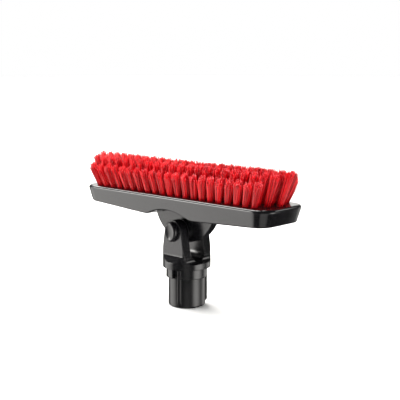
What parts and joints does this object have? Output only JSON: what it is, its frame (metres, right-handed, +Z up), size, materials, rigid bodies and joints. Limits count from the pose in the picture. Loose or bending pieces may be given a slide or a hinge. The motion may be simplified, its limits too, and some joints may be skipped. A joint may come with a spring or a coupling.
{
  "type": "swivelling scrub brush head",
  "caption": "Long narrow scrub brush head with stiff red tufts, on a forked friction swivel with a release button and a ribbed pole socket.",
  "frame": {"origin": "centre of the pole socket's lower end, on the socket's axis", "axes": "+Z up along the pole socket towards the bristles, +X along the brush block, +Y along the swivel pivot away from the release button"},
  "size_m": [0.2284, 0.052, 0.1261],
  "materials": {
    "block_plastic": "glossy black moulded plastic",
    "fork_plastic": "glossy black moulded plastic",
    "socket_plastic": "satin black moulded plastic",
    "button_plastic": "glossy black moulded plastic",
    "bristle": "stiff red polymer filament",
    "staple_wire": "flat zinc-coated wire",
    "fastener_steel": "zinc-plated steel",
    "bearing_plastic": "natural acetal",
    "washer_plastic": "black acetal",
    "clutch_plastic": "dark grey glass-filled nylon",
    "spring_steel": "drawn spring wire"
  },
  "bodies": {
    "holder": {"yoke": "fork_plastic", "pole_socket": "socket_plastic", "socket_screw": "fastener_steel", "pivot_bolt": "fastener_steel", "pivot_nut": "fastener_steel"},
    "head": {"brush_block": "block_plastic", "pivot_bush": "bearing_plastic", "front_friction_washer": "washer_plastic", "back_friction_washer": "washer_plastic", "bristle_row_1": "bristle", "bristle_row_2": "bristle", "bristle_row_3": "bristle", "bristle_row_4": "bristle", "bristle_row_5": "bristle", "staple_row_1": "staple_wire", "staple_row_2": "staple_wire", "staple_row_3": "staple_wire", "staple_row_4": "staple_wire", "staple_row_5": "staple_wire", "clutch_spring": "spring_steel", "spring_seat": "fastener_steel"},
    "button": {"release_button": "button_plastic"},
    "clutch": {"clutch_cone": "clutch_plastic"}
  },
  "joints": [
    {"name": "swivel", "type": "hinge", "parent": "holder", "child": "head", "pos_m": [0, 0, 0.066], "axis": [0, 1, 0], "range_deg": [-60, 60]},
    {"name": "button_press", "type": "slide", "parent": "holder", "child": "button", "axis": [0, 1, 0], "range_m": [0, 0.0026], "stiffness_N_per_m": 2500, "springref_m": -0.002},
    {"name": "clutch_slide", "type": "slide", "parent": "head", "child": "clutch", "axis": [0, 1, 0], "range_m": [0, 0.0026], "deforming": ["clutch_spring"]}
  ],
  "couplings": [
    {"joint": "clutch_slide", "follows": "button_press", "ratio": 1}
  ]
}
